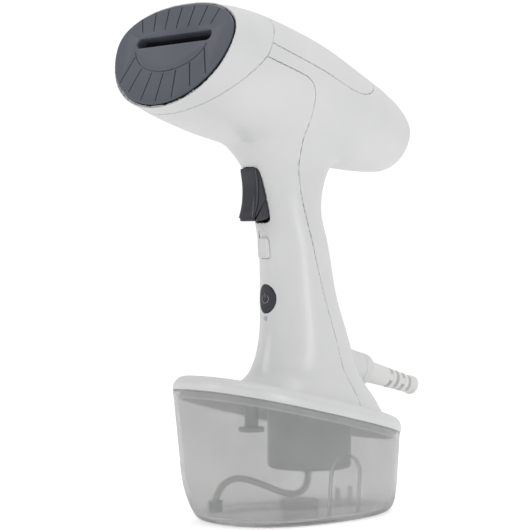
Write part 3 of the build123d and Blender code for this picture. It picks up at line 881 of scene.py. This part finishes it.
def bar_outline(start, end, half_width, steps=6):
    """Outline of a straight bar with round ends."""
    start, end = np.array(start, float), np.array(end, float)
    turn = np.arctan2(*(end - start)[::-1])
    line = []
    for place, first in ((end, -pi / 2), (start, pi / 2)):
        for k in range(steps + 1):
            a = turn + first + pi * k / steps
            line.append(place + half_width * np.array([cos(a), sin(a)]))
    return np.array(line)


groove_half = 0.42
groove_depth = 0.7
groove_lines = []
groove_step, groove_spread, groove_start = 9.7, 1.13, 6.3
for step in range(-3, 4):
    across = groove_step * step
    edge = 18.9 * (1 - abs(across * groove_spread / 47) ** 2.4) ** 0.45
    groove_lines.append(((across, groove_start), (across * groove_spread, edge)))
lower_grooves = [
    ((0, -21.9), (0, -38.6)), ((10.3, -20.8), (13, -37.2)), ((20.5, -17.3), (26, -31.2)),
    ((29.5, -9.4), (36.5, -24.8)),
]
for inner, outer in lower_grooves:
    groove_lines.append((inner, outer))
    if inner[0] > 0:
        groove_lines.append(((-inner[0], inner[1]), (-outer[0], outer[1])))
cutters = []
# half width, height above the face
groove_rows = [
    (groove_half * 0.45, -groove_depth), (groove_half * 0.85, -0.45), (groove_half, -0.05),
    (groove_half, 0.6),
]
for number, (inner, outer) in enumerate(groove_lines):
    loops = [on_face(*bar_outline(inner, outer, half).T, height) for half, height in groove_rows]
    cutters.append(skin(f"groove_cutter_{number}", loops))
slot_rows = [(2.9, -8), (2.9, -1.0), (3.1, -0.5), (3.5, -0.15), (3.9, 0.0), (4.3, 0.5)]
slot_ends = (-28.5, -0.6), (28.5, -0.6)
slot_loops = [on_face(*bar_outline(*slot_ends, half, 12).T, height) for half, height in slot_rows]
cutters.append(skin("slot_cutter", slot_loops))
sweep = np.linspace(radians(193), radians(347), 49)
arch = [(31 + s, 18.5 + s) for s in (-0.3, 0.3)]
arch_line = np.concatenate([
    np.stack([arch[0][0] * np.cos(sweep), arch[0][1] * np.sin(sweep) - 2], 1),
    np.stack([arch[1][0] * np.cos(sweep[::-1]), arch[1][1] * np.sin(sweep[::-1]) - 2], 1),
])
cutters.append(skin("arch_cutter", [on_face(*arch_line.T, height) for height in (-0.4, 0.5)]))
cutter = joined("face_cutter", *cutters)
carve = plate.modifiers.new("carve", "BOOLEAN")
carve.object = cutter
carve.operation = "DIFFERENCE"
carve.solver = "EXACT"
apply_all(plate)
bpy.data.objects.remove(cutter)
shade(plate, 28)
fit_out(plate, ceramic, "housing", "plate_coating", "steam_plate")

# ---- Trigger: a dark satin moulding that swings on a pin under the head. A concave finger panel is
# set into its front behind a fine groove, with a raised steam sign at its lower end.
dark_satin = moulded("dark_satin_plastic", (0.026, 0.027, 0.037), (0.038, 0.039, 0.051), 0.36, 650, 0.00007)
panel_satin = moulded(
    "finger_panel_plastic", (0.028, 0.029, 0.040), (0.040, 0.041, 0.055), 0.28, 650, 0.00005
)
trigger_half = 6.2
# the groove between panel and body, and the panel's front, as (y, z)
panel_back = [
    (-38.9, 206.4), (-38.3, 203), (-37.3, 198), (-37.1, 193), (-37.6, 186.5), (-39.0, 182), (-40.6, 178.6),
]
panel_front = [
    (-41.6, 177.6), (-41.2, 180), (-40.3, 184), (-39.6, 189), (-39.5, 195), (-40.1, 200), (-40.9, 204.6),
    (-40.6, 206.4),
]
body_front = [(y + 0.6, z - 0.1) for y, z in panel_back[:-1]] + [(-40.3, 177.6), (-41.0, 176.9)]
body_rest = [
    (-40.9, 175.9), (-39.4, 175.5), (-36, 175.8), (-32, 176.3), (-29, 176.9), (-27.3, 179.2), (-26.6, 184),
    (-26.9, 192), (-27.8, 206.3),
]


def side_rounded(name, line, half, radius, room=None, steps=7):
    """Solid with the closed (y, z) outline, its edges rounded; room(y, z) limits the rounding."""
    line = eased(line + line[:1], 4)[:-1]
    area = sum(a[0] * b[1] - b[0] * a[1] for a, b in zip(line, line[1:] + line[:1]))
    inward = 1 if area > 0 else -1
    ways = shifted(line[-1:] + line + line[:1], inward)[1:-1]
    bend = np.linspace(0, pi / 2, steps)
    stations = [(half - radius + radius * sin(a), 1 - cos(a)) for a in bend]
    stations = [(-x, share) for x, share in reversed(stations)] + stations
    loops = []
    for x, share in stations:
        loop = []
        for (y, z), (moved_y, moved_z) in zip(line, ways):
            inset = share * (min(radius, room(y, z)) if room else radius)
            loop.append((x, y + (moved_y - y) * inset, z + (moved_z - z) * inset))
        loops.append(loop)
    return skin(name, loops)


def behind_groove(y, z):
    """How far a place is behind the panel's back, in mm."""
    depths, heights = zip(*reversed(panel_back))
    return y - float(np.interp(z, heights, depths))


core_outline = [
    (-28.6, 205.5), (-38.9, 205.6), (-38.3, 200), (-38.0, 193), (-38.8, 185), (-40.6, 179), (-40.2, 177),
    (-30, 181),
]
trigger_body = side_rounded(
    "trigger_moulding", body_front + body_rest, trigger_half, 1.6,
    lambda y, z: 0 if abs(behind_groove(y, z)) < 0.8 and z > 179 else 1.6,
)
trigger_core = side_rounded("trigger_core", core_outline, trigger_half - 0.5, 0.3, None, 3)
trigger = joined("trigger_moulding", trigger_body, trigger_core)
shade(trigger, 40)
fit_out(trigger, dark_satin, "trigger", "dark_satin", "trigger")
panel = side_rounded(
    "trigger_finger_panel", panel_back + panel_front, trigger_half, 2.2,
    lambda y, z: 0.7 * max(0.0, -behind_groove(y, z) - 0.1),
)
shade(panel, 50)
fit_out(panel, panel_satin, "trigger", "dark_satin")


def wire(name, lines, radius):
    """Thin raised lines through lists of places in millimetres."""
    data = bpy.data.curves.new(name, "CURVE")
    data.dimensions = "3D"
    data.bevel_depth = radius * mm
    data.bevel_resolution = 3
    data.use_fill_caps = True
    for line in lines:
        run = data.splines.new("POLY")
        run.points.add(len(line) - 1)
        for point, place in zip(run.points, line):
            point.co = (*(np.array(place) * mm), 1)
    made = bpy.data.objects.new(name, data)
    scene.collection.objects.link(made)
    return made


def panel_place(x, z):
    """Place just under the finger panel's front."""
    depths, heights = zip(*panel_front[:-1])
    return (x, float(np.interp(z, heights, depths)) + 0.05, z)


sign_lines = []
for x in (-1.9, 0, 1.9):
    sign_lines.append([panel_place(x + 0.3 * sin((z - 180) * 1.5), z) for z in np.linspace(180.6, 184.4, 9)])
sign_arc = np.linspace(0.1, pi - 0.1, 15)
sign_lines.append([panel_place(3.0 * cos(a), 185.4 + 1.7 * sin(a)) for a in sign_arc])
steam_sign = wire("trigger_steam_sign", sign_lines, 0.26)
fit_out(steam_sign, dark_satin, "trigger", "dark_satin")


# ---- Trigger surround: a thin dark plastic frame that lines the trigger's opening in the front
# shell. It is moulded in one piece and pressed in from inside, a hair below the handle's surface.
def handle_front(x, z):
    """y of the handle's front surface."""
    middle, half, front, _, squareness = smooth_rows(handle_rows, np.asarray(z, float)).T
    share = np.clip(np.abs(x) / half, 0, 1) ** squareness
    return middle - (middle - front) * (1 - share) ** (1 / squareness)


surround_rear = -24.0
# growth of the outline, depth below the handle's surface; None is the rear end
surround_profile = [(-0.1, 0.45), (-0.35, 0.5), (-0.35, None), (-0.1, None)]
frame_loops = []
for grow, depth in surround_profile:
    x, z = np.array(rounded_box(*trigger_hole, grow=grow)).T
    y = np.full(len(x), surround_rear) if depth is None else handle_front(x, z) + depth
    frame_loops.append(np.stack([x, y, z], 1))
surround_frame = skin("trigger_surround", frame_loops, wrap=True)
shade(surround_frame, 40)
fit_out(surround_frame, dark_satin, "housing", "dark_satin", "trigger_bezel")


# ---- Lock slider: a small white cap on a short track below the trigger. Pushed up, it holds the
# trigger for steady steam.
slider_low, slider_high, slider_half = 154, 166, 3.8
slider_middle = (slider_low + slider_high) / 2
slider_lean = -0.06
# inset from the outline, y at mid height; None is just below the handle's surface
slider_profile = [
    (0, None), (0, -27.9), (0.08, -28.12), (0.25, -28.3), (0.5, -28.4), (0.75, -28.42), (1.0, -28.22),
    (1.3, -28.2),
]
slider_loops = []
for inset, depth in slider_profile:
    outline = rounded_box(slider_half - inset, slider_low + inset, slider_high - inset, max(1.2 - inset, 0.1))
    x, z = np.array(outline).T
    y = handle_front(x, z) + 0.3 if depth is None else depth + slider_lean * (z - slider_middle)
    slider_loops.append(np.stack([x, y, z], 1))
slider = skin("lock_slider_cap", slider_loops)
shade(slider, 30)
fit_out(slider, gloss_white, "lock", "white_gloss", "lock_slider")

track_x, track_z = np.meshgrid(np.linspace(-4.6, 4.6, 13), np.linspace(152.9, 170.7, 19))
track_depth, track_thick = 0.7, 0.6
surface = handle_front(track_x.ravel(), track_z.ravel()).reshape(track_x.shape)
track_layers = [
    np.stack([track_x, surface + depth, track_z], -1) for depth in (track_depth, track_depth + track_thick)
]
rows, columns = track_x.shape
track_points = np.concatenate([layer.reshape(-1, 3) for layer in track_layers]) * mm
track_faces = []
for layer in (0, rows * columns):
    for r in range(rows - 1):
        for c in range(columns - 1):
            a = layer + r * columns + c
            track_faces.append((a, a + 1, a + columns + 1, a + columns))
border = [(0, c) for c in range(columns)] + [(r, columns - 1) for r in range(1, rows)]
border += [(rows - 1, c) for c in range(columns - 2, -1, -1)] + [(r, 0) for r in range(rows - 2, 0, -1)]
for (r1, c1), (r2, c2) in zip(border, border[1:] + border[:1]):
    a, b = r1 * columns + c1, r2 * columns + c2
    track_faces.append((a, b, b + rows * columns, a + rows * columns))
track_mesh = bpy.data.meshes.new("slider_track")
track_mesh.from_pydata([tuple(p) for p in track_points], [], track_faces)
work = bmesh.new()
work.from_mesh(track_mesh)
bmesh.ops.recalc_face_normals(work, faces=work.faces)
work.to_mesh(track_mesh)
work.free()
track = bpy.data.objects.new("slider_track", track_mesh)
scene.collection.objects.link(track)
shade(track)
fit_out(track, gloss_white, "housing", "white_gloss")

# ---- Power button: a dark oval cap that follows the handle's curve, with a shallow dish and a paler
# printed power sign.
button_height, button_half, button_high = 130.0, 6.6, 8.4
button_turn = np.linspace(0, 2 * pi, 72, endpoint=False)
# inset from the outline, height above the handle's surface
button_profile = [
    (0, -3.0), (0, 0.0), (0.05, 0.22), (0.18, 0.4), (0.4, 0.52), (0.7, 0.55), (1.4, 0.45), (2.4, 0.28),
    (3.6, 0.15), (4.8, 0.08), (5.8, 0.05),
]


def button_place(across, up, lift):
    """Places on the button, lifted from the handle's surface."""
    z = button_height + np.asarray(up, float)
    return np.stack([across, handle_front(across, z) - lift, z], -1)


button_loops = []
for inset, lift in button_profile:
    across = np.cos(button_turn) * (button_half - inset)
    up = np.sin(button_turn) * (button_high - inset)
    button_loops.append(button_place(across, up, lift))
button = skin("power_button_cap", button_loops)
shade(button, 40)
fit_out(button, dark_satin, "button", "dark_satin", "power_button")
pale_print = moulded("pale_print", (0.22, 0.22, 0.25), (0.28, 0.28, 0.31), 0.5, 800, 0.00003)
sign_turn = np.linspace(radians(125), radians(415), 40)
ring_line = button_place(2.5 * np.cos(sign_turn), 2.5 * np.sin(sign_turn), 0.2)
bar_line = button_place(np.zeros(6), np.linspace(0.8, 3.4, 6), 0.2)
power_sign = wire("power_sign", [ring_line, bar_line], 0.24)
fit_out(power_sign, pale_print, "button", "dark_satin")

# ---- Cord exit: a domed white gland in the back of the handle and a satin strain relief of softer
# plastic, smooth near the gland, then cut by slots that leave bridges on alternate sides.
satin_white = moulded("satin_white_plastic", (0.74, 0.74, 0.73), (0.79, 0.79, 0.78), 0.42, 500, 0.00006)
cord_slope = radians(14.3)
cord_start = np.array([0, 61.0, 84.2])
cord_way = np.array([0, cos(cord_slope), -sin(cord_slope)])
cord_up = np.array([0, sin(cord_slope), cos(cord_slope)])
relief_turn = np.linspace(0, 2 * pi, 72, endpoint=False)


def cord_ring(radius, distance):
    """Ring about the cord's axis; the radius may differ round the ring."""
    radius = np.broadcast_to(radius, relief_turn.shape)
    return (cord_start + distance * cord_way + (radius * np.sin(relief_turn))[:, None] * cord_up
            + (radius * np.cos(relief_turn))[:, None] * np.array([1.0, 0, 0]))


gland_profile = [
    (11.4, -33), (11.4, -30), (10, -30), (10, -9.6), (9.75, -9.4), (9.75, -8.8), (10, -8.6), (10, -4.4),
]
gland_profile += [(6 + 4 * cos(a), -4.4 + 4 * sin(a)) for a in np.linspace(0.15, pi / 2, 9)]
gland_profile += [(5.4, -0.4), (5.2, -0.6), (5.2, -33)]
gland = skin("cord_gland_dome", [cord_ring(*point) for point in gland_profile], wrap=True)
shade(gland, 30)
fit_out(gland, gloss_white, "housing", "white_gloss", "cord_gland")

relief_length, relief_thick, relief_thin, relief_bore = 45.5, 6.8, 5.4, 3.3
bridge_half = radians(24)
relief_loops = [cord_ring(7.4, -36), cord_ring(7.4, -33.3), cord_ring(5.1, -33.2), cord_ring(5.1, -0.3)]
relief_loops += [cord_ring(relief_thick - 0.4, -0.28), cord_ring(relief_thick, 0.1)]


def relief_radius(distance):
    """Outside radius of the sleeve, which tapers towards the cord."""
    return relief_thick + (relief_thin - relief_thick) * distance / relief_length


# distance from the start of a slot, share of the slot's depth
slot_steps = [(-0.2, 0), (0, 0.15), (0.02, 1), (2.68, 1), (2.7, 0.15), (2.9, 0)]
for number, start in enumerate((17.5, 23.5, 29.5, 35.5)):
    for step, cut in slot_steps:
        distance = start + step
        outer = relief_radius(distance)
        aside = np.abs((relief_turn - number * pi / 2 + pi / 2) % pi - pi / 2)
        slotted = np.where(aside > bridge_half, outer - 2.4 * cut, outer - 0.12 * (cut > 0))
        relief_loops.append(cord_ring(slotted if cut > 0.5 else outer - 0.25 * (cut > 0), distance))
# radius, distance: the end bead and the bore
relief_end = [
    (relief_radius(41.5), 41.5), (5.9, 42.1), (6.0, 43.2), (5.9, 44.6), (5.3, 45.2), (4.9, 45.2),
    (relief_bore, 45.0), (relief_bore, -36),
]
relief_loops += [cord_ring(*point) for point in relief_end]
relief = skin("strain_relief_sleeve", relief_loops, wrap=True)
shade(relief, 40)
fit_out(relief, satin_white, "housing", "white_satin", "strain_relief")


# ---- Parts inside the housing, the pump well and the vent valve: they keep the frame's shape, and
# each takes the finish of what it is made of: moulded nylon, cast aluminium, plated steel or rubber.
finishes = {
    "white_gloss": gloss_white,
    "white_satin": satin_white,
    "smoky_clear": clear_smoke,
    "grey_plastic": moulded("grey_nylon", (0.30, 0.31, 0.32), (0.37, 0.38, 0.39), 0.45, 500, 0.00008),
    "silicone": silicone,
    "dark_satin": dark_satin,
    "plate_coating": ceramic,
    "black_rubber": moulded("black_rubber", (0.02, 0.02, 0.02), (0.035, 0.035, 0.035), 0.7, 600, 0.0001),
    "circuit_green": moulded("circuit_board", (0.02, 0.10, 0.04), (0.03, 0.14, 0.06), 0.35, 500, 0.00004),
    "lamp_clear": moulded("lamp_lens", (0.45, 0.47, 0.50), (0.55, 0.57, 0.60), 0.15, 500, 0.00002),
    "copper_winding": moulded(
        "copper_winding", (0.55, 0.20, 0.09), (0.70, 0.29, 0.13), 0.35, 900, 0.0003, metal=0.85
    ),
    "cast_aluminium": moulded(
        "cast_aluminium", (0.52, 0.53, 0.54), (0.64, 0.65, 0.66), 0.5, 350, 0.0002, metal=0.95
    ),
    "steel": moulded(
        "plated_steel", (0.52, 0.52, 0.53), (0.64, 0.64, 0.65), 0.3, 700, 0.00005, metal=1.0
    ),
}
for part in frame["record"]["subparts"]:
    node = nodes[part["node"]]
    node.data.materials.clear()
    node.data.materials.append(finishes[part["material_slot"]])
